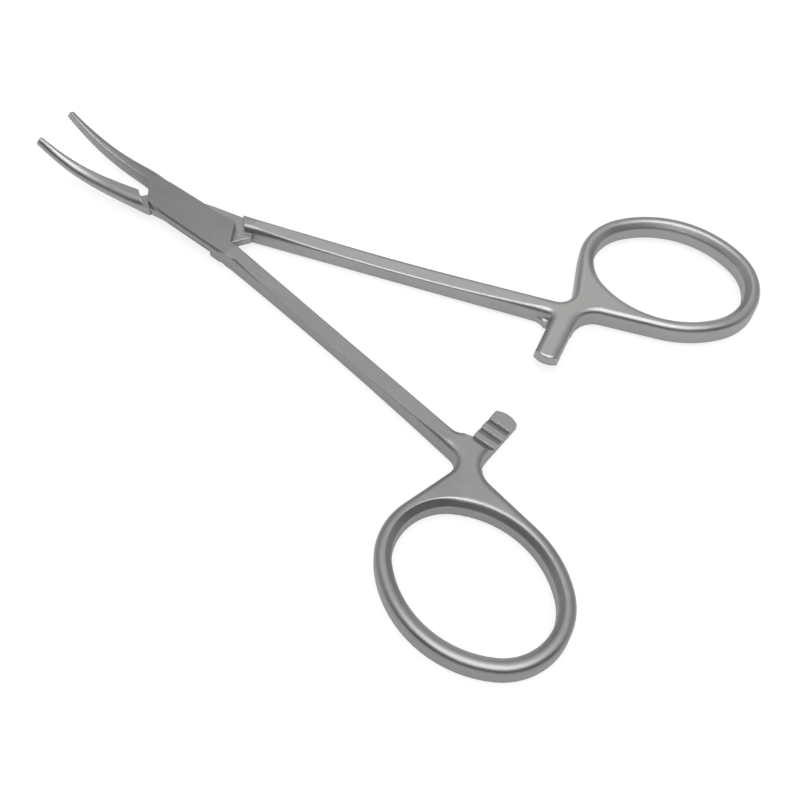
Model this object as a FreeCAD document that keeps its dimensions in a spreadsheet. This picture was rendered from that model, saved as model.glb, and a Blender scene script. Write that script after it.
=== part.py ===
"""Curved hemostat forceps with a box lock, 125 mm long when closed.

Both halves are drawn in the closed position about the joint pin, with the
middle of the thickness at height zero, and each body's placement then turns
its half to the resting pose.  X runs from the pin to the finger rings, Y to
the ring of the male half and Z up.  Lengths are in mm and angles in degrees.
"""
import FreeCAD, Part
import Sketcher
import math
import os

V = FreeCAD.Vector

doc = FreeCAD.newDocument("Hemostat")
sheet = doc.addObject("Spreadsheet::Sheet", "sizes")
trial = doc.addObject("Spreadsheet::Sheet", "trial")

SIZES = {
    # lock
    "lock_thickness": 4.2,
    "slot_height": 1.5,
    "slot_side_gap": 0.05,
    "meeting_gap": 0.05,
    "rest_half_angle": 6.95,
    "cheek_front": 11.2,
    "cheek_front_corner": 8.0,
    "cheek_front_drop": 3.45,
    "cheek_side_start": 4.5,
    "cheek_near_side": 4.0,
    "cheek_far_side": 2.75,
    "cheek_far_front": 2.35,
    "cheek_rear": 9.2,
    "cheek_rear_drop": 1.0,
    "cheek_rear_corner": 6.8,
    "cheek_lower_side": 3.1,
    "cheek_lower_side_end": 6.5,
    "cheek_lower_tail": 4.3,
    "cheek_near_end": 9.0,
    "cheek_tail": 14.5,
    "cheek_tail_near": 2.9,
    "cheek_tail_far": 1.5,
    "cheek_edge_bevel": 0.4,
    "cheek_lower_bevel": 0.8,
    "slot_end_distance": 7.86,
    "slot_end_gap": 0.25,
    "tenon_outer": 3.4,
    "tenon_front_outer": 2.9,
    "tenon_jaw_edge": 2.0,
    "shoulder_front_gap": 0.12,
    "shoulder_rear_gap": 1.1,
    "pin_diameter": 2.4,
    "pin_running_gap": 0.04,
    # shank
    "shank_start": 6.5,
    "shank_root_inner": 0.19,
    "shank_inner_slope": 0.1133,
    "shank_root_outer": 3.29,
    "shank_neck_outer": 9.6,
    "shank_waist_sag": 0.5,
    "shank_edge_round": 1.1,
    "shank_edge_bevel": 0.8,
    "shank_scoop_depth": 0.8,
    "shank_scoop_start": 10.5,
    "shank_scoop_end": 61.5,
    # finger ring
    "ring_centre_x": 77.8,
    "ring_centre_y": 23.98,
    "ring_tilt": 4.85,
    "ring_hole_length": 25.7,
    "ring_hole_width": 19.55,
    "ring_end_radius": 8.15,
    "ring_band": 2.55,
    "ring_inner_bevel": 1.0,
    "neck_crotch_x": 62.3,
    "neck_crotch_radius": 2.5,
    # ratchet bar
    "bar_start": 63.2,
    "bar_width": 4.0,
    "bar_side_room": 1.9,
    "bar_tip_reach": 1.5,
    "bar_tip_radius": 3.6,
    "bar_crotch_radius": 2.6,
    "bar_tight_crotch_radius": 0.8,
    "bar_ring_crotch_y": 6.4,
    "bar_ring_crotch_radius": 4.0,
    "bar_face_gap": 0.1,
    "tooth_pitch": 2.05,
    "tooth_depth": 0.35,
    "tooth_land": 0.95,
    "tooth_start": 0.19,
    "tooth_count": 3,
    "bar_ramp_length": 2.0,
    # jaw
    "jaw_root": 8.0,
    "jaw_root_lift": 0.1,
    "jaw_neck": 12.5,
    "jaw_bend_start": 17.0,
    "jaw_bend_radius": 22.7,
    "jaw_bend_angle": 35.5,
    "jaw_root_depth": 2.3,
    "jaw_neck_depth": 2.6,
    "jaw_tip_depth": 1.0,
    "jaw_neck_height": 2.75,
    "jaw_tip_height": 2.0,
    "jaw_root_flat": 0.75,
    "jaw_neck_flat": 0.5,
    "jaw_tip_flat": 0.35,
    "jaw_tip_bevel": 0.25,
    "serration_start": 12.6,
    "serration_pitch": 0.5,
    "serration_depth": 0.16,
    "serration_open": 0.8,
}


def fill_sheet():
    """Write each size into its own cell and name the cell."""
    for row, (name, value) in enumerate(SIZES.items(), start=1):
        sheet.set("A%d" % row, name.replace("_", " "))
        sheet.set("B%d" % row, str(value))
        sheet.setAlias("B%d" % row, name)
    doc.recompute()


def worth(expression):
    """Number that an expression of named sizes gives."""
    trial.set("A1", "=" + expression)
    trial.recompute()
    return float(trial.get("A1"))


def origin_feature(body, role):
    for feature in body.Origin.OriginFeatures:
        if feature.Role == role:
            return feature
    raise ValueError(role)


def sketch_on(body, name, role, shift=None, turn=None):
    """Sketch on one of the body's own planes, shifted or turned by expressions."""
    sketch = body.newObject("Sketcher::SketchObject", name)
    sketch.AttachmentSupport = (origin_feature(body, role), [""])
    sketch.MapMode = "FlatFace"
    if turn:
        sketch.AttachmentOffset = FreeCAD.Placement(V(0, 0, 0), FreeCAD.Rotation(V(1, 0, 0), 1))
        sketch.setExpression(".AttachmentOffset.Rotation.Angle", turn)
    for axis, expression in (shift or {}).items():
        sketch.setExpression(".AttachmentOffset.Base.%s" % axis, expression)
    return sketch


def polygon(sketch, corners):
    """Closed outline whose corners are pairs of expressions; a third entry on a
    corner is the radius of the arc to the next one, positive when the outline
    turns left along it."""
    places = [V(worth(c[0]), worth(c[1]), 0) for c in corners]
    edges = []
    for index, corner in enumerate(corners):
        here = places[index]
        there = places[(index + 1) % len(places)]
        if len(corner) == 3:
            bend = worth(corner[2])
            edges.append(bow(here, there, abs(bend), bend > 0))
        else:
            edges.append(("line", here, there))
    ends = lay(sketch, edges)
    for index, corner in enumerate(corners):
        geometry, start = ends[index][:2]
        for kind, expression in (("DistanceX", corner[0]), ("DistanceY", corner[1])):
            value = places[index].x if kind == "DistanceX" else places[index].y
            number = sketch.addConstraint(Sketcher.Constraint(kind, -1, 1, geometry, start, value))
            sketch.setExpression("Constraints[%d]" % number, expression)
        if len(corner) == 3:
            radius = abs(worth(corner[2]))
            number = sketch.addConstraint(Sketcher.Constraint("Radius", geometry, radius))
            sketch.setExpression("Constraints[%d]" % number, "abs(%s)" % corner[2])


def bow(here, there, radius, left):
    """Arc of a given radius between two points, the shorter way round."""
    middle = (here + there) * 0.5
    along = there - here
    half = along.Length / 2
    normal = V(-along.y, along.x, 0)
    normal.normalize()
    reach = math.sqrt(radius * radius - half * half)
    centre = middle + normal * (reach if left else -reach)
    return ("arc", here, there, centre, left)


def lay(sketch, edges):
    """Draw lines and arcs end to end; gives each one's number and its two ends."""
    ends = []
    for edge in edges:
        here, there = edge[1], edge[2]
        if edge[0] == "line":
            number = sketch.addGeometry(Part.LineSegment(here, there), False)
            ends.append((number, 1, 2))
            continue
        centre, left = edge[3], edge[4]
        first, last = (here, there) if left else (there, here)
        start = math.atan2(first.y - centre.y, first.x - centre.x)
        stop = math.atan2(last.y - centre.y, last.x - centre.x)
        if stop <= start:
            stop += 2 * math.pi
        circle = Part.Circle(centre, V(0, 0, 1), (here - centre).Length)
        number = sketch.addGeometry(Part.ArcOfCircle(circle, start, stop), False)
        ends.append((number, 1, 2) if left else (number, 2, 1))
    for index, (number, start, stop) in enumerate(ends):
        following, first = ends[(index + 1) % len(ends)][:2]
        sketch.addConstraint(Sketcher.Constraint("Coincident", number, stop, following, first))
    return ends


def grow(body, kind, name, sketch, length, way="Symmetric", back=False):
    """Pad or pocket by an expression; it has to change the volume the right way."""
    before = body.Shape.Volume if body.Tip else 0.0
    feature = body.newObject("PartDesign::" + kind, name)
    feature.Profile = sketch
    feature.SideType = way
    feature.Reversed = back
    feature.setExpression("Length", length)
    doc.recompute()
    change = body.Shape.Volume - before
    if (change > 0) != (kind == "Pad"):
        raise ValueError("%s does not change the body as meant" % name)
    return feature


def soften(body, kind, name, base, amount, chosen):
    """Fillet or chamfer the edges of a feature that the given test picks."""
    names = []
    for number, edge in enumerate(base.Shape.Edges, start=1):
        if chosen(edge):
            names.append("Edge%d" % number)
    feature = body.newObject("PartDesign::" + kind, name)
    feature.Base = (base, names)
    feature.setExpression("Radius" if kind == "Fillet" else "Size", amount)
    doc.recompute()
    return feature


def flip(edges, side):
    """The same outline for the other half: mirrored across the closing line."""
    if side > 0:
        return edges
    mirrored = []
    for edge in edges:
        points = [V(p.x, -p.y, 0) for p in edge[1:3]]
        if edge[0] == "line":
            mirrored.append(("line", points[0], points[1]))
        else:
            centre = V(edge[3].x, -edge[3].y, 0)
            mirrored.append(("arc", points[0], points[1], centre, not edge[4]))
    return mirrored


def size(name):
    return worth("sizes." + name)


def turned(x, y):
    """Point given along the ring's own axes, in the half's frame."""
    angle = math.radians(size("ring_tilt"))
    return V(size("ring_centre_x") + x * math.cos(angle) - y * math.sin(angle),
             size("ring_centre_y") + x * math.sin(angle) + y * math.cos(angle), 0)


class Oval:
    """Four-arc oval of the finger ring, its hole widened by an offset."""

    def __init__(self, offset):
        half_long = size("ring_hole_length") / 2
        half_wide = size("ring_hole_width") / 2
        end_radius = size("ring_end_radius")
        reach = half_long - end_radius
        rise = half_wide - end_radius
        drop = (reach * reach - rise * rise) / (2 * rise)
        self.end_radius = end_radius + offset
        self.side_radius = half_wide + drop + offset
        self.near_end = turned(-reach, 0)
        self.far_end = turned(reach, 0)
        self.low_side = turned(0, drop)
        self.high_side = turned(0, -drop)

    def joint(self, side_centre, end_centre):
        """Point where a side arc runs into an end arc."""
        way = end_centre - side_centre
        way.normalize()
        return side_centre + way * self.side_radius

    def hole(self):
        low_near = self.joint(self.low_side, self.near_end)
        low_far = self.joint(self.low_side, self.far_end)
        high_far = self.joint(self.high_side, self.far_end)
        high_near = self.joint(self.high_side, self.near_end)
        return [("arc", low_near, low_far, self.low_side, True),
                ("arc", low_far, high_far, self.far_end, True),
                ("arc", high_far, high_near, self.high_side, True),
                ("arc", high_near, low_near, self.near_end, True)]


def crossing_tangent(centre, radius, other, other_radius, turn):
    """Line that touches two circles on opposite sides; turn is 1 or -1."""
    between = other - centre
    slant = math.asin((radius + other_radius) / between.Length)
    heading = math.atan2(between.y, between.x) + turn * slant
    across = V(math.sin(heading), -math.cos(heading), 0) * turn
    return centre + across * radius, other - across * other_radius


def handle_outline(side, crotch_radius):
    """Shank, neck, ring and ratchet bar seen from above, for one half, with an
    arc of crotch_radius between the shank and the bar."""
    start = size("shank_start")
    slope = size("shank_inner_slope")
    inner_root = size("shank_root_inner")

    def inner(x):
        return inner_root + slope * (x - start)

    # outer side of the shank, drawn in a little at the waist
    neck_x = size("neck_crotch_x")
    outer_start = V(start, size("shank_root_outer"), 0)
    outer_neck = V(neck_x, size("shank_neck_outer"), 0)
    half_run = (outer_neck - outer_start).Length / 2
    sag = size("shank_waist_sag")
    outer_radius = (half_run * half_run + sag * sag) / (2 * sag)
    outer_centre = bow(outer_start, outer_neck, outer_radius, True)[3]

    # crotch between the shank and the ring, then the straight run to the ring
    ring = Oval(size("ring_band"))
    neck_radius = size("neck_crotch_radius")
    reach = outer_radius - neck_radius
    run = neck_x - outer_centre.x
    neck_centre = V(neck_x, outer_centre.y - math.sqrt(reach * reach - run * run), 0)
    to_neck = neck_centre - outer_centre
    to_neck.normalize()
    shank_end = outer_centre + to_neck * outer_radius
    leave, land = crossing_tangent(neck_centre, neck_radius, ring.near_end, ring.end_radius, 1)

    # crotch between the ratchet bar and the ring
    bar_start = size("bar_start")
    bar_end = bar_start + size("bar_width")
    small = size("bar_ring_crotch_radius")
    small_centre = V(bar_end + small, size("bar_ring_crotch_y"), 0)
    depart, arrive = crossing_tangent(small_centre, small, ring.low_side, ring.side_radius, -1)

    # crotch between the shank and the ratchet bar
    tilt = math.atan(slope)
    down = V(math.sin(tilt), -math.cos(tilt), 0)
    drop = crotch_radius * (slope + math.hypot(1, slope))
    corner = V(bar_start, inner(bar_start) - drop, 0)
    crotch_centre = corner - V(crotch_radius, 0, 0)
    touch = crotch_centre - down * crotch_radius

    tip_y = -size("bar_tip_reach")
    tip_start = V(bar_start, tip_y, 0)
    tip_end = V(bar_end, tip_y, 0)
    root = V(bar_end, size("bar_ring_crotch_y"), 0)
    edges = [
        ("line", V(start, inner_root, 0), touch),
        ("arc", touch, corner, crotch_centre, False),
        ("line", corner, tip_start),
        bow(tip_start, tip_end, size("bar_tip_radius"), True),
        ("line", tip_end, root),
        ("arc", root, depart, small_centre, False),
        ("line", depart, arrive),
        ("arc", arrive, ring.joint(ring.low_side, ring.far_end), ring.low_side, True),
        ring.hole()[1],
        ring.hole()[2],
        ("arc", ring.joint(ring.high_side, ring.near_end), land, ring.near_end, True),
        ("line", land, leave),
        ("arc", leave, shank_end, neck_centre, False),
        ("arc", shank_end, outer_start, outer_centre, False),
        ("line", outer_start, V(start, inner_root, 0)),
    ]
    return flip(edges, side)


def add_handle(body, side):
    """Shank, ring and bar as one forged piece with softened edges."""
    half = "sizes.lock_thickness / 2"
    bar_level = ("upper", False) if side > 0 else ("lower", True)
    web_level = ("lower", True) if side > 0 else ("upper", False)
    tight = size("bar_tight_crotch_radius")
    wide = size("bar_crotch_radius")
    for (level, back), radius in ((bar_level, tight), (web_level, wide)):
        sketch = sketch_on(body, "handle_outline_" + level, "XY_Plane")
        lay(sketch, handle_outline(side, radius))
        grow(body, "Pad", "handle_" + level, sketch, half, "One side", back)
    hole = sketch_on(body, "ring_hole_outline", "XY_Plane")
    lay(hole, flip(Oval(0).hole(), side))
    ring_hole = grow(body, "Pocket", "ring_hole", hole, "sizes.lock_thickness")

    level = size("lock_thickness") / 2
    start = size("shank_start")
    tip_y = size("bar_tip_reach")
    centre = turned(0, 0)
    middle = V(centre.x, side * centre.y, 0)
    oval = Oval(0)
    hole_reach = (oval.joint(oval.low_side, oval.near_end) - centre).Length

    def on_face(edge):
        return abs(abs(edge.CenterOfMass.z) - level) < 1e-4

    def in_hole(edge):
        farthest = max((V(v.Point.x, v.Point.y, 0) - middle).Length for v in edge.Vertexes)
        return farthest < hole_reach + size("ring_band") / 4

    def outer(edge):
        if not on_face(edge) or in_hole(edge):
            return False
        spot = edge.CenterOfMass
        if abs(spot.x - start) < 1e-3:
            return False
        return side * spot.y > -tip_y + 1e-3

    rounded = soften(body, "Fillet", "outer_edges_above", ring_hole, "sizes.shank_edge_round",
                     lambda edge: outer(edge) and edge.CenterOfMass.z > 0)
    bevelled = soften(body, "Chamfer", "outer_edges_below", rounded, "sizes.shank_edge_bevel",
                      lambda edge: outer(edge) and edge.CenterOfMass.z < 0)
    soften(body, "Chamfer", "ring_inner_edges", bevelled, "sizes.ring_inner_bevel",
           lambda edge: on_face(edge) and in_hole(edge))


def thin_shank(body):
    """Scoop the shank thinner between lock and ring, above and below."""
    top = "(sizes.lock_thickness / 2)"
    depth = "sizes.shank_scoop_depth"
    half = "((sizes.shank_scoop_end - sizes.shank_scoop_start) / 2)"
    bend = "-(%s ^ 2 + %s ^ 2) / (2 * %s)" % (half, depth, depth)
    for level, sign in (("upper", ""), ("lower", "-")):
        sketch = sketch_on(body, "shank_scoop_outline_" + level, "XZ_Plane")
        face = sign + top
        away = "%s(%s + sizes.shank_scoop_depth)" % (sign, top)
        turn = "(%s)" % bend if sign else "-(%s)" % bend
        polygon(sketch, [
            ("sizes.shank_scoop_start", face, turn),
            ("sizes.shank_scoop_end", face),
            ("sizes.shank_scoop_end", away),
            ("sizes.shank_scoop_start", away),
        ])
        grow(body, "Pocket", "shank_scoop_" + level, sketch, "4 * sizes.ring_centre_y")


def cut_ratchet(body, side):
    """Thin the bar to half thickness, ramp it up to the neck and cut its teeth."""
    sign = "" if side > 0 else "-"
    gap = "(sizes.bar_face_gap / 2)"
    floor = "(sizes.bar_face_gap / 2 + sizes.tooth_depth)"
    past_tip = "-(sizes.bar_tip_reach + sizes.tooth_pitch)"
    last = "(sizes.tooth_start + sizes.tooth_pitch * (sizes.tooth_count - 1))"
    ramp_top = "(%s + sizes.bar_ramp_length)" % last
    outside = "-(sizes.lock_thickness / 2)"
    beyond = "-(sizes.lock_thickness / 2 + sizes.tooth_pitch)"
    middle = "sizes.bar_start + sizes.bar_width / 2"

    def across(corners):
        return [("%s(%s)" % (sign, a), "%s(%s)" % (sign, b)) for a, b in corners]

    relief = sketch_on(body, "bar_relief_outline", "YZ_Plane", {"z": middle})
    polygon(relief, across([
        (past_tip, gap), (last, gap), (last, floor), (ramp_top, outside),
        (ramp_top, beyond), (past_tip, beyond),
    ]))
    grow(body, "Pocket", "bar_relief", relief, "sizes.bar_width + 2 * sizes.bar_side_room")
    gullet = sketch_on(body, "tooth_gullet_outline", "YZ_Plane", {"z": middle})
    first = "sizes.tooth_start"
    crest = "(sizes.tooth_start + sizes.tooth_pitch - sizes.tooth_land)"
    polygon(gullet, across([
        (first, "-%s" % gap), (first, floor), (crest, gap), (crest, "-%s" % gap),
    ]))
    cut = grow(body, "Pocket", "tooth_gullet", gullet, "sizes.bar_width + 2 * sizes.bar_side_room")
    teeth = body.newObject("PartDesign::LinearPattern", "ratchet_teeth")
    teeth.Originals = [cut]
    teeth.Direction = (origin_feature(body, "Y_Axis"), [""])
    teeth.Reversed = side < 0
    teeth.setExpression("Occurrences", "sizes.tooth_count - 1")
    teeth.setExpression("Length", "sizes.tooth_pitch * (sizes.tooth_count - 2)")
    body.Tip = teeth
    doc.recompute()


def add_jaw(body, side):
    """Tapered jaw of half-round section that curves up towards the tip."""
    sign = "" if side < 0 else "-"
    top = "sizes.lock_thickness / 2"
    bend = "sizes.jaw_bend_radius"
    run = "(sizes.jaw_bend_start - sizes.jaw_neck + %s * sizes.jaw_bend_angle * pi / 180)" % bend
    neck_to_bend = "(sizes.jaw_bend_start - sizes.jaw_neck)"

    def between(neck, tip, share):
        return "(%s + (%s - %s) * %s)" % (neck, tip, neck, share)

    stations = [
        ("root", "-sizes.jaw_root", None, "sizes.jaw_root_depth",
         "(sizes.lock_thickness - sizes.jaw_root_lift)", "sizes.jaw_root_flat"),
        ("neck", "-sizes.jaw_neck", None, "sizes.jaw_neck_depth", "sizes.jaw_neck_height",
         "sizes.jaw_neck_flat"),
    ]
    for third, name in enumerate(("bend", "low", "high", "tip")):
        angle = "(sizes.jaw_bend_angle * %d / 3)" % third
        share = "((%s + %s * %s * pi / 180) / %s)" % (neck_to_bend, bend, angle, run)
        depth = between("sizes.jaw_neck_depth", "sizes.jaw_tip_depth", share)
        height = between("sizes.jaw_neck_height", "sizes.jaw_tip_height", share)
        place = "-(sizes.jaw_bend_start + %s * sin(%s))" % (bend, angle)
        flat = between("sizes.jaw_neck_flat", "sizes.jaw_tip_flat", share)
        stations.append((name, place, angle, depth, height, flat))
    sections = []
    for name, place, angle, depth, height, flat in stations:
        rise = "%s + %s * (1 - cos(%s))" % (top, bend, angle) if angle else top
        sketch = sketch_on(body, "jaw_section_" + name, "YZ_Plane", {"z": place, "y": rise}, angle)
        face = "%ssizes.meeting_gap" % sign
        flat_end = "%s(sizes.meeting_gap + %s * %s)" % (sign, depth, flat)
        bulge = "(%s * (1 - %s))" % (depth, flat)
        round_back = "((%s / 2) ^ 2 + %s ^ 2) / (2 * %s)" % (height, bulge, bulge)
        turn = "(%s)" % round_back if side < 0 else "-(%s)" % round_back
        polygon(sketch, [
            (face, "0 * " + height), (face, "-" + height),
            (flat_end, "-" + height, turn), (flat_end, "0 * " + height),
        ])
        sections.append(sketch)
    loft = body.newObject("PartDesign::AdditiveLoft", "jaw")
    loft.Profile = sections[0]
    loft.Sections = sections[1:]
    doc.recompute()
    return loft


def cut_serrations(body, side):
    """Fine cross grooves on the gripping face, straight part and bend."""
    sign = "" if side < 0 else "-"
    face = "%s(sizes.meeting_gap - sizes.serration_depth)" % sign
    bottom = "%s(sizes.meeting_gap + sizes.serration_depth)" % sign
    tall = "sizes.lock_thickness + 2 * sizes.jaw_neck_height"
    straight = "floor((sizes.jaw_bend_start - sizes.serration_start) / sizes.serration_pitch)"
    step = "(sizes.serration_pitch / sizes.jaw_bend_radius * 180 / pi)"
    round_count = "floor(sizes.jaw_bend_angle / %s)" % step
    cuts = []
    for name, place in (("straight", "sizes.serration_start"), ("bend", "sizes.jaw_bend_start")):
        sketch = sketch_on(body, "serration_outline_" + name, "XY_Plane")
        polygon(sketch, [
            ("-(%s + sizes.serration_open * sizes.serration_pitch)" % place, face),
            ("-(%s)" % place, face),
            ("-(%s + sizes.serration_open * sizes.serration_pitch / 2)" % place, bottom),
        ])
        cuts.append(grow(body, "Pocket", "serration_" + name, sketch, tall))
        if name == "straight":
            row = body.newObject("PartDesign::LinearPattern", "serrations_straight")
            row.Originals = [cuts[-1]]
            row.Direction = (origin_feature(body, "X_Axis"), [""])
            row.Reversed = True
            row.setExpression("Occurrences", straight)
            row.setExpression("Length", "sizes.serration_pitch * (%s - 1)" % straight)
        else:
            height = "sizes.lock_thickness / 2 + sizes.jaw_bend_radius"
            centre = sketch_on(body, "jaw_bend_centre", "XZ_Plane",
                               {"x": "-sizes.jaw_bend_start", "y": height})
            circle = Part.Circle(V(0, 0, 0), V(0, 0, 1), size("jaw_bend_radius"))
            centre.addGeometry(circle, True)
            row = body.newObject("PartDesign::PolarPattern", "serrations_bend")
            row.Originals = [cuts[-1]]
            row.Axis = (centre, ["N_Axis"])
            row.Reversed = True
            row.setExpression("Occurrences", round_count)
            row.setExpression("Angle", "%s * (%s - 1)" % (step, round_count))
        body.Tip = row
        doc.recompute()


def ramp_below(body):
    """Slope the lock's underside up to the underside of the jaw."""
    below = "-(sizes.lock_thickness)"
    sketch = sketch_on(body, "front_ramp_outline", "XZ_Plane")
    polygon(sketch, [
        ("-sizes.jaw_root", "-(sizes.lock_thickness / 2)"),
        ("-sizes.jaw_root", below),
        ("-sizes.jaw_neck", below),
        ("-sizes.jaw_neck", "sizes.lock_thickness / 2 - sizes.jaw_neck_height"),
    ])
    grow(body, "Pocket", "front_ramp", sketch, "4 * sizes.cheek_near_side")


def add_cheeks(body):
    """Block of the female half: outline of both cheeks and their bevelled edges."""
    outline = sketch_on(body, "cheek_outline", "XY_Plane")
    polygon(outline, [
        ("-sizes.cheek_front", "sizes.meeting_gap"),
        ("-sizes.cheek_front_corner", "-sizes.cheek_front_drop"),
        ("-sizes.cheek_side_start", "-sizes.cheek_near_side"),
        ("sizes.cheek_near_end", "-sizes.cheek_near_side"),
        ("sizes.cheek_tail", "-sizes.cheek_tail_near"),
        ("sizes.cheek_tail", "-sizes.cheek_tail_far"),
        ("sizes.cheek_rear", "-sizes.cheek_rear_drop"),
        ("sizes.cheek_rear_corner", "sizes.cheek_far_side"),
        ("-sizes.jaw_root", "sizes.cheek_far_front"),
        ("-sizes.cheek_front", "sizes.cheek_far_front / 2"),
    ])
    block = grow(body, "Pad", "cheeks", outline, "sizes.lock_thickness")
    level = size("lock_thickness") / 2
    near = -size("cheek_near_side")
    far = (size("cheek_far_side") + size("cheek_far_front")) / 2

    def side_edge(edge):
        spot = edge.CenterOfMass
        on_face = abs(abs(spot.z) - level) < 1e-4
        return on_face and (abs(spot.y - near) < 1e-3 or abs(spot.y - far) < 1e-3)

    soften(body, "Chamfer", "cheek_bevels", block, "sizes.cheek_edge_bevel", side_edge)
    set_lower_cheek_in(body)
    ramp_below(body)


def set_lower_cheek_in(body):
    """Narrow the lower cheek on the near side and bevel its edge."""
    beyond = "-(2 * sizes.cheek_near_side)"
    outline = sketch_on(body, "lower_cheek_outline", "XY_Plane", {"z": "-sizes.lock_thickness / 2"})
    polygon(outline, [
        ("-sizes.cheek_front", "-sizes.cheek_lower_side"),
        ("-sizes.cheek_front", beyond),
        ("sizes.cheek_tail", beyond),
        ("sizes.cheek_tail", "-sizes.cheek_lower_tail"),
        ("sizes.cheek_lower_side_end", "-sizes.cheek_lower_side"),
    ])
    thickness = "(sizes.lock_thickness - sizes.slot_height) / 2"
    narrowed = grow(body, "Pocket", "lower_cheek_side", outline, thickness, "One side", True)
    level = -size("lock_thickness") / 2
    side = -size("cheek_lower_side")

    def lower_edge(edge):
        spot = edge.CenterOfMass
        within = -size("cheek_front") < spot.x < size("cheek_near_end")
        return abs(spot.z - level) < 1e-4 and spot.y < side + 1e-3 and within

    soften(body, "Chamfer", "cheek_lower_bevel", narrowed, "sizes.cheek_lower_bevel", lower_edge)


def cut_slot(body):
    """Slot between the cheeks that the other half's tenon swings in."""
    past = "(sizes.cheek_near_side + 1)"
    reach = "(sizes.slot_end_distance * sqrt(2))"
    open_side = "(sizes.cheek_far_side + 1)"
    outline = sketch_on(body, "slot_outline", "XY_Plane")
    polygon(outline, [
        ("%s - %s" % (open_side, reach), open_side),
        ("-%s - %s" % (past, reach), "-" + past),
        ("%s - %s" % (reach, past), "-" + past),
        ("%s + %s" % (reach, open_side), open_side),
    ])
    grow(body, "Pocket", "lock_slot", outline, "sizes.slot_height")


def add_tenon(body):
    """Flat tongue of the male half that fills the slot."""
    reach = "((sizes.slot_end_distance - sizes.slot_end_gap) * sqrt(2))"
    face = "-sizes.meeting_gap"
    outline = sketch_on(body, "tenon_outline", "XY_Plane")
    polygon(outline, [
        ("-sizes.cheek_front", face),
        ("%s - %s" % (face, reach), face),
        ("sizes.tenon_front_outer - %s" % reach, "sizes.tenon_front_outer"),
        ("sizes.tenon_outer / 2", "sizes.tenon_outer"),
        ("sizes.cheek_rear", "sizes.tenon_outer"),
        ("%s" % reach, "0 * sizes.tenon_outer"),
        ("%s - sizes.tenon_outer" % reach, "-sizes.tenon_outer"),
        ("-sizes.jaw_root", "-sizes.tenon_jaw_edge"),
    ])
    grow(body, "Pad", "tenon", outline, "sizes.slot_height - 2 * sizes.slot_side_gap")


def cut_shoulders(body):
    """Clear both faces of the male half for the cheeks, up to oblique shoulders."""
    front = "(sizes.cheek_front + sizes.shoulder_front_gap)"
    rear = "(sizes.cheek_rear + sizes.shoulder_rear_gap)"
    front_slope = "((sizes.cheek_front - sizes.cheek_front_corner) / sizes.cheek_front_drop)"
    rise = "(sizes.cheek_rear_drop + sizes.cheek_far_side)"
    rear_slope = "((sizes.cheek_rear - sizes.cheek_rear_corner) / %s)" % rise
    past = "(2 * sizes.cheek_near_side)"
    corners = [
        ("-(%s - %s * %s)" % (front, front_slope, past), "-%s" % past),
        ("%s + %s * (%s - sizes.cheek_rear_drop)" % (rear, rear_slope, past), "-%s" % past),
        ("%s - %s * (%s + sizes.cheek_rear_drop)" % (rear, rear_slope, past), past),
        ("-(%s + %s * %s)" % (front, front_slope, past), past),
    ]
    level = "(sizes.slot_height / 2 - sizes.slot_side_gap)"
    for name, shift, back in (("upper", level, True), ("lower", "-" + level, False)):
        outline = sketch_on(body, "shoulder_outline_" + name, "XY_Plane", {"z": shift})
        polygon(outline, corners)
        grow(body, "Pocket", "shoulders_" + name, outline, "sizes.lock_thickness", "One side", back)


def bore(body, name, diameter):
    """Hole for the joint pin."""
    sketch = sketch_on(body, name + "_outline", "XY_Plane")
    circle = sketch.addGeometry(Part.Circle(V(0, 0, 0), V(0, 0, 1), worth(diameter) / 2), False)
    sketch.addConstraint(Sketcher.Constraint("Coincident", circle, 3, -1, 1))
    number = sketch.addConstraint(Sketcher.Constraint("Diameter", circle, worth(diameter)))
    sketch.setExpression("Constraints[%d]" % number, diameter)
    return grow(body, "Pocket", name, sketch, "sizes.lock_thickness * 2")


def round_tip(body, loft):
    """Take the sharp corners off the end of the jaw."""
    angle = math.radians(size("jaw_bend_angle"))
    bend = size("jaw_bend_radius")
    heading = V(-math.cos(angle), 0, math.sin(angle))
    corner = V(-size("jaw_bend_start") - bend * math.sin(angle), 0,
               size("lock_thickness") / 2 + bend * (1 - math.cos(angle)))

    def on_end(edge):
        along = [abs((v.Point - corner).dot(heading)) for v in edge.Vertexes]
        back = edge.CenterOfMass.y
        return max(along) < 1e-3 and abs(back) > 2 * size("meeting_gap")

    soften(body, "Chamfer", "jaw_tip_edges", loft, "sizes.jaw_tip_bevel", on_end)


def place(body, side):
    """Turn a half from closed to the resting pose and set it on the table."""
    body.Placement = FreeCAD.Placement(V(0, 0, 0), FreeCAD.Rotation(V(0, 0, side), 1))
    body.setExpression(".Placement.Rotation.Angle", "sizes.rest_half_angle")
    body.setExpression(".Placement.Base.z", "sizes.lock_thickness / 2")


def female_half():
    body = doc.addObject("PartDesign::Body", "female_half")
    add_handle(body, -1)
    add_cheeks(body)
    thin_shank(body)
    cut_ratchet(body, -1)
    round_tip(body, add_jaw(body, -1))
    cut_slot(body)
    bore(body, "pin_seat", "sizes.pin_diameter")
    cut_serrations(body, -1)
    place(body, -1)
    return body


def male_half():
    body = doc.addObject("PartDesign::Body", "male_half")
    add_handle(body, 1)
    thin_shank(body)
    cut_ratchet(body, 1)
    round_tip(body, add_jaw(body, 1))
    cut_shoulders(body)
    add_tenon(body)
    bore(body, "pin_hole", "sizes.pin_diameter + 2 * sizes.pin_running_gap")
    cut_serrations(body, 1)
    place(body, 1)
    return body


def joint_pin():
    """Pin ground flush with both cheeks."""
    pin = doc.addObject("Part::Cylinder", "joint_pin")
    pin.setExpression("Radius", "sizes.pin_diameter / 2")
    pin.setExpression("Height", "sizes.lock_thickness")
    return pin


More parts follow.
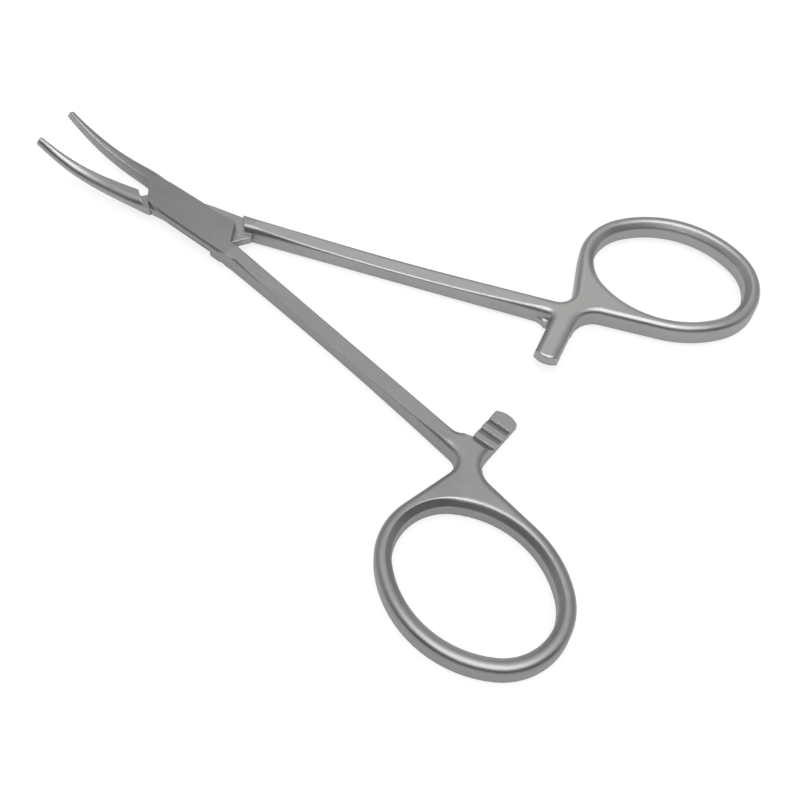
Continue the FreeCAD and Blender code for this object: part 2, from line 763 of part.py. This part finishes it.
fill_sheet()
pieces = [female_half(), male_half(), joint_pin()]
doc.recompute()
for item in doc.Objects:
    if "Invalid" in item.State or "Error" in item.State:
        raise RuntimeError("%s did not build" % item.Label)
os.makedirs("parts", exist_ok=True)
for piece in pieces:
    if piece.Shape.isNull() or not piece.Shape.isValid():
        raise RuntimeError("%s has no valid shape" % piece.Label)
    piece.Shape.exportStep("parts/%s.step" % piece.Label)
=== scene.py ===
"""Curved hemostat forceps in satin stainless steel on a white table."""

import math

import bpy
from mathutils import Matrix, Vector

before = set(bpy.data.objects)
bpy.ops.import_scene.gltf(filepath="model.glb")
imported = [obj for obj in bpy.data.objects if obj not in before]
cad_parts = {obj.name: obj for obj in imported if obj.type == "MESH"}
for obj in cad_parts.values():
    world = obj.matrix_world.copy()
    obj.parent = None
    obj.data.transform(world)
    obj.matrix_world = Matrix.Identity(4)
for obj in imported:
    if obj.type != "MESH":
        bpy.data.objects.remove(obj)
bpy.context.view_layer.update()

# Camera at the photograph's angle, in metres. It aims at the pin, at the middle
# of the lock's height, and then moves in its own plane until the pin lies where
# the photograph has it.
LOCK_MIDDLE = 0.0021
AZIMUTH = math.radians(28.98)
ELEVATION = math.radians(56.37)
ROLL = math.radians(3.44)
DISTANCE = 0.191574
MOVE_RIGHT = 0.035262
MOVE_UP = -0.031306
LENS = 49.77
SENSOR = 36.0
CLIP_NEAR = 0.01
CLIP_FAR = 20

# Edges: the steel shades them as rounded. Each list is (distance from the pin,
# radius), and at the pin itself the radius is 0, because the pin is ground flush.
LONGEST_REACH = 0.1
LARGEST_RADIUS = 0.0008
LOCK_EDGES = ((0.0014, 0.0), (0.0018, 0.0002), (0.012, 0.0002))
FEMALE_EDGES = LOCK_EDGES + ((0.018, 0.0005), (0.060, 0.0005), (0.0625, 0.0002),
                             (0.068, 0.0002), (0.071, 0.0008))
MALE_EDGES = LOCK_EDGES + ((0.018, 0.0006), (0.058, 0.0008))
EDGE_SAMPLES = 8
# Rounded-over edges, concave and convex, get a lighter grey and are smoother: partly wear from
# handling, partly a painted highlight.
EDGE_WEAR_AND_HIGHLIGHT = ((0.86, 1.0), (0.995, 0.0))
EDGE_HIGHLIGHT_GREY = 0.6
EDGE_ROUGHNESS = 0.28

# Painted shade: the steel's colour is darkened in corners, creases and gaps between parts,
# where shade falls.
PAINTED_SHADE_REACH = 0.0009
PAINTED_SHADE_SAMPLES = 6
PAINTED_SHADE_RAMP = ((0.1, 0.62), (0.6, 1.0))

# Steel: noise scales are per metre, and a ramp covers a noise from LOW to HIGH.
HALF_TURN = math.radians(6.95)
FEMALE_GREY = 0.38
# Both halves are the same steel; the male half's grey is painted lighter, standing in for the
# brighter light it gets.
MALE_PAINTED_LIGHTER_GREY = 0.47
STEEL_TINT = (1.0, 1.0, 0.985, 1)
STREAK_SCALE = (130, 2600, 2600)
STREAK_DETAIL = 3.0
STREAK_DARKEST = 0.88
STREAK_SHARE = 0.6
GRAIN_SCALE = 6000.0
GRAIN_DETAIL = 2.0
CLOUD_SCALE = 130.0
CLOUD_DETAIL = 4.0
CLOUD_DARKEST = 0.93
CLOUD_PALEST = 1.05
LOW = 0.3
HIGH = 0.7
SMOOTHEST = 0.30
ROUGHEST = 0.39
RELIEF_STRENGTH = 0.2
RELIEF_HEIGHT = 0.00004

# Table: its tone and glow for the camera, for the steel and for other light.
TABLE_SIDE = 6
TABLE_PALE = 0.85
TABLE_ROUGHNESS = 0.9
CAMERA_PALE = 0.3
CAMERA_GLOW = 0.8
STEEL_PALE = 0.8
STEEL_GLOW = 0.1

# Studio: greys are (sine of the height over the horizon, grey). The dim side is
# where the photographer stands, and the patch is a softbox across from there.
PALE_SIDE = ((0.0, 0.6), (0.3, 0.42), (0.5, 0.45), (0.72, 0.62), (0.9, 0.55), (1.0, 0.6))
DIM_SIDE = ((0.0, 0.3), (0.2, 0.12), (0.55, 0.12), (0.8, 0.45), (1.0, 0.6))
DIM_START = -0.1
DIM_FULL = 0.6
SOFTBOX = (-0.26, 0.6, 0.757)
SOFTBOX_EDGE = math.radians(10)
SOFTBOX_CORE = math.radians(2)
SOFTBOX_GLOW = 1.1

# Lamp overhead, a little to the photographer's side.
LAMP_PLACE = (0.15, -0.2, 1.0)
LAMP_AIM = (0.03, 0, 0)
LAMP_WIDTH = 1.0
LAMP_POWER = 5


def grey(level):
    return (level, level, level, 1)


class Nodes:
    """A node tree, with short calls to add and join its nodes."""

    def __init__(self, tree):
        self.tree = tree

    def put(self, socket, value):
        """Set a socket to a value, or link it where the value is a socket."""
        if isinstance(value, bpy.types.NodeSocket):
            self.tree.links.new(value, socket)
        else:
            socket.default_value = value

    def add(self, kind, **inputs):
        """New node; an input is named as its socket is, with _ for a space."""
        node = self.tree.nodes.new("ShaderNode" + kind)
        for name, value in inputs.items():
            self.put(node.inputs[name.replace("_", " ")], value)
        return node

    def ramp(self, source, stops):
        """Grey over a source that goes from 0 to 1; stops are (place, grey)."""
        node = self.add("ValToRGB", Fac=source)
        points = node.color_ramp.elements
        while len(points) < len(stops):
            points.new(0.5)
        for point, (place, level) in zip(points, stops):
            point.position = place
            point.color = grey(level)
        return node.outputs["Color"]

    def mix(self, share, first, second, way="MIX"):
        """Blend of two colours; the node's sockets go by number, not by name."""
        node = self.tree.nodes.new("ShaderNodeMix")
        node.data_type = "RGBA"
        node.blend_type = way
        for index, value in ((0, share), (6, first), (7, second)):
            self.put(node.inputs[index], value)
        return node.outputs[2]

    def number(self, way, first, second):
        """Result of a sum with two numbers."""
        node = self.tree.nodes.new("ShaderNodeMath")
        node.operation = way
        self.put(node.inputs[0], first)
        self.put(node.inputs[1], second)
        return node.outputs[0]

    def measure(self, way, *vectors):
        """Number that comes from one or two vectors."""
        node = self.tree.nodes.new("ShaderNodeVectorMath")
        node.operation = way
        for socket, value in zip(node.inputs, vectors):
            self.put(socket, value)
        return node.outputs["Value"]

    def smooth_step(self, source, start, end, top=1.0):
        """0 up to start, top from end on, and a smooth rise between."""
        node = self.add("MapRange", Value=source, From_Min=start, From_Max=end, To_Max=top)
        node.interpolation_type = "SMOOTHSTEP"
        return node.outputs["Result"]


def new_material(name):
    """Material, its nodes and its shader."""
    material = bpy.data.materials.new(name)
    material.use_nodes = True
    return material, Nodes(material.node_tree), material.node_tree.nodes["Principled BSDF"]


def rounded_normal(nodes, place, edges):
    """Normal that rounds the edges over, by the distance from the pin."""
    flat = nodes.add("Mapping", Vector=place, Scale=(1, 1, 0)).outputs["Vector"]
    reach = nodes.number("DIVIDE", nodes.measure("LENGTH", flat), LONGEST_REACH)
    share = nodes.ramp(reach, [(distance / LONGEST_REACH, radius / LARGEST_RADIUS)
                               for distance, radius in edges])
    bevel = nodes.add("Bevel", Radius=nodes.number("MULTIPLY", share, LARGEST_RADIUS))
    bevel.samples = EDGE_SAMPLES
    return bevel.outputs["Normal"]


def satin_steel(name, tone, turn, edges):
    """Blasted and brushed stainless steel; the brushing follows the shank.

    Rounded-over edges are a little smoother from handling. They are also lighter, partly from
    that wear and partly as a painted highlight. Corners, creases and gaps get painted shade.
    """
    material, nodes, shader = new_material(name)
    place = nodes.add("TexCoord").outputs["Object"]
    along = nodes.add("Mapping", Vector=place, Rotation=(0, 0, turn), Scale=STREAK_SCALE)
    streak = nodes.add("TexNoise", Vector=along.outputs["Vector"], Scale=1.0,
                       Detail=STREAK_DETAIL).outputs["Fac"]
    grain = nodes.add("TexNoise", Vector=place, Scale=GRAIN_SCALE,
                      Detail=GRAIN_DETAIL).outputs["Fac"]
    cloud = nodes.add("TexNoise", Vector=place, Scale=CLOUD_SCALE,
                      Detail=CLOUD_DETAIL).outputs["Fac"]
    rounded = rounded_normal(nodes, place, edges)
    true_normal = nodes.add("NewGeometry").outputs["Normal"]
    # Mask of rounded-over edges: lighter partly as wear, partly as a painted highlight.
    wear_and_highlight = nodes.ramp(nodes.measure("DOT_PRODUCT", rounded, true_normal), EDGE_WEAR_AND_HIGHLIGHT)
    # Painted shade: occlusion darkens the colour in corners, creases and gaps.
    shade_occlusion = nodes.add("AmbientOcclusion", Distance=PAINTED_SHADE_REACH)
    shade_occlusion.samples = PAINTED_SHADE_SAMPLES
    painted_shade = nodes.ramp(shade_occlusion.outputs["AO"], PAINTED_SHADE_RAMP)

    clouds = nodes.ramp(cloud, ((LOW, tone * CLOUD_DARKEST), (HIGH, tone * CLOUD_PALEST)))
    streaks = nodes.ramp(streak, ((LOW, STREAK_DARKEST), (HIGH, 1.0)))
    brushed = nodes.mix(STREAK_SHARE, clouds, streaks, "MULTIPLY")
    worn_and_highlighted = nodes.mix(wear_and_highlight, brushed, grey(EDGE_HIGHLIGHT_GREY))
    with_painted_shade = nodes.mix(1.0, worn_and_highlighted, painted_shade, "MULTIPLY")
    nodes.put(shader.inputs["Base Color"], nodes.mix(1.0, with_painted_shade, STEEL_TINT, "MULTIPLY"))
    shader.inputs["Metallic"].default_value = 1.0
    rough = nodes.ramp(cloud, ((LOW, SMOOTHEST), (HIGH, ROUGHEST)))
    nodes.put(shader.inputs["Roughness"], nodes.mix(wear_and_highlight, rough, grey(EDGE_ROUGHNESS)))
    relief = nodes.add("Bump", Height=nodes.number("ADD", streak, grain), Normal=rounded,
                       Strength=RELIEF_STRENGTH, Distance=RELIEF_HEIGHT)
    nodes.put(shader.inputs["Normal"], relief.outputs["Normal"])
    return material


def dress(node, material):
    """Give a CAD node its material."""
    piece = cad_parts[node]
    piece.data.materials.clear()
    piece.data.materials.append(material)


def add_camera():
    """Camera at the photograph's angle, with the same lens."""
    back = Vector((math.sin(AZIMUTH) * math.cos(ELEVATION),
                   -math.cos(AZIMUTH) * math.cos(ELEVATION),
                   math.sin(ELEVATION)))
    level = Vector((math.cos(AZIMUTH), math.sin(AZIMUTH), 0))
    upright = back.cross(level)
    right = math.cos(ROLL) * level + math.sin(ROLL) * upright
    up = math.cos(ROLL) * upright - math.sin(ROLL) * level
    place = Vector((0, 0, LOCK_MIDDLE)) + DISTANCE * back + MOVE_RIGHT * right + MOVE_UP * up
    data = bpy.data.cameras.new("photo_camera")
    data.lens = LENS
    data.sensor_width = SENSOR
    data.clip_start = CLIP_NEAR
    data.clip_end = CLIP_FAR
    camera = bpy.data.objects.new("photo_camera", data)
    camera.matrix_world = Matrix((
        (right.x, up.x, back.x, place.x),
        (right.y, up.y, back.y, place.y),
        (right.z, up.z, back.z, place.z),
        (0, 0, 0, 1),
    ))
    bpy.context.scene.collection.objects.link(camera)
    bpy.context.scene.camera = camera


def add_table():
    """White table; the camera and the steel see it pale, with a faint shadow."""
    bpy.ops.mesh.primitive_plane_add(size=TABLE_SIDE, location=(0, 0, 0))
    table = bpy.context.object
    table.name = "table_top"
    material, nodes, shader = new_material("white_table")
    light_path = nodes.add("LightPath")
    to_camera = light_path.outputs["Is Camera Ray"]
    to_steel = light_path.outputs["Is Glossy Ray"]
    glow = nodes.number("ADD", nodes.number("MULTIPLY", to_camera, CAMERA_GLOW),
                        nodes.number("MULTIPLY", to_steel, STEEL_GLOW))
    mirrored = nodes.mix(to_steel, grey(TABLE_PALE), grey(STEEL_PALE))
    nodes.put(shader.inputs["Base Color"], nodes.mix(to_camera, mirrored, grey(CAMERA_PALE)))
    shader.inputs["Roughness"].default_value = TABLE_ROUGHNESS
    shader.inputs["Specular IOR Level"].default_value = 0.0
    shader.inputs["Emission Color"].default_value = grey(1.0)
    nodes.put(shader.inputs["Emission Strength"], glow)
    table.data.materials.append(material)


def add_studio():
    """Walls pale on one side and dim where the photographer stands, with one
    softbox, and white where the camera looks straight at them."""
    world = bpy.data.worlds.new("studio")
    bpy.context.scene.world = world
    world.use_nodes = True
    nodes = Nodes(world.node_tree)
    direction = nodes.add("TexCoord").outputs["Generated"]
    height = nodes.add("SeparateXYZ", Vector=direction).outputs["Z"]
    to_photographer = (math.sin(AZIMUTH), -math.cos(AZIMUTH), 0)
    dim_share = nodes.smooth_step(nodes.measure("DOT_PRODUCT", direction, to_photographer),
                                  DIM_START, DIM_FULL)
    walls = nodes.mix(dim_share, nodes.ramp(height, PALE_SIDE), nodes.ramp(height, DIM_SIDE))
    to_softbox = nodes.measure("DOT_PRODUCT", direction, Vector(SOFTBOX).normalized())
    softbox = nodes.smooth_step(to_softbox, math.cos(SOFTBOX_EDGE), math.cos(SOFTBOX_CORE),
                                SOFTBOX_GLOW)
    lit = nodes.mix(1.0, walls, softbox, "ADD")
    to_camera = nodes.add("LightPath").outputs["Is Camera Ray"]
    background = world.node_tree.nodes["Background"]
    nodes.put(background.inputs["Color"], nodes.mix(to_camera, lit, grey(1.0)))
    background.inputs["Strength"].default_value = 1.0


def add_lamp():
    """Round lamp overhead."""
    data = bpy.data.lights.new("overhead", "AREA")
    data.shape = "DISK"
    data.size = LAMP_WIDTH
    data.energy = LAMP_POWER
    lamp = bpy.data.objects.new("overhead", data)
    lamp.location = LAMP_PLACE
    lamp.rotation_mode = "QUATERNION"
    lamp.rotation_quaternion = (Vector(LAMP_AIM) - Vector(LAMP_PLACE)).to_track_quat("-Z", "Y")
    bpy.context.scene.collection.objects.link(lamp)


add_camera()
add_table()
add_studio()
add_lamp()
dress("female_half", satin_steel("female_steel", FEMALE_GREY, HALF_TURN, FEMALE_EDGES))
# Same steel as the female half, with a painted lighter grey in place of light.
dress("male_half", satin_steel("male_steel_painted_lighter", MALE_PAINTED_LIGHTER_GREY, -HALF_TURN, MALE_EDGES))
dress("joint_pin", satin_steel("pin_steel", FEMALE_GREY, 0, LOCK_EDGES))
bpy.context.scene.view_settings.view_transform = "Standard"
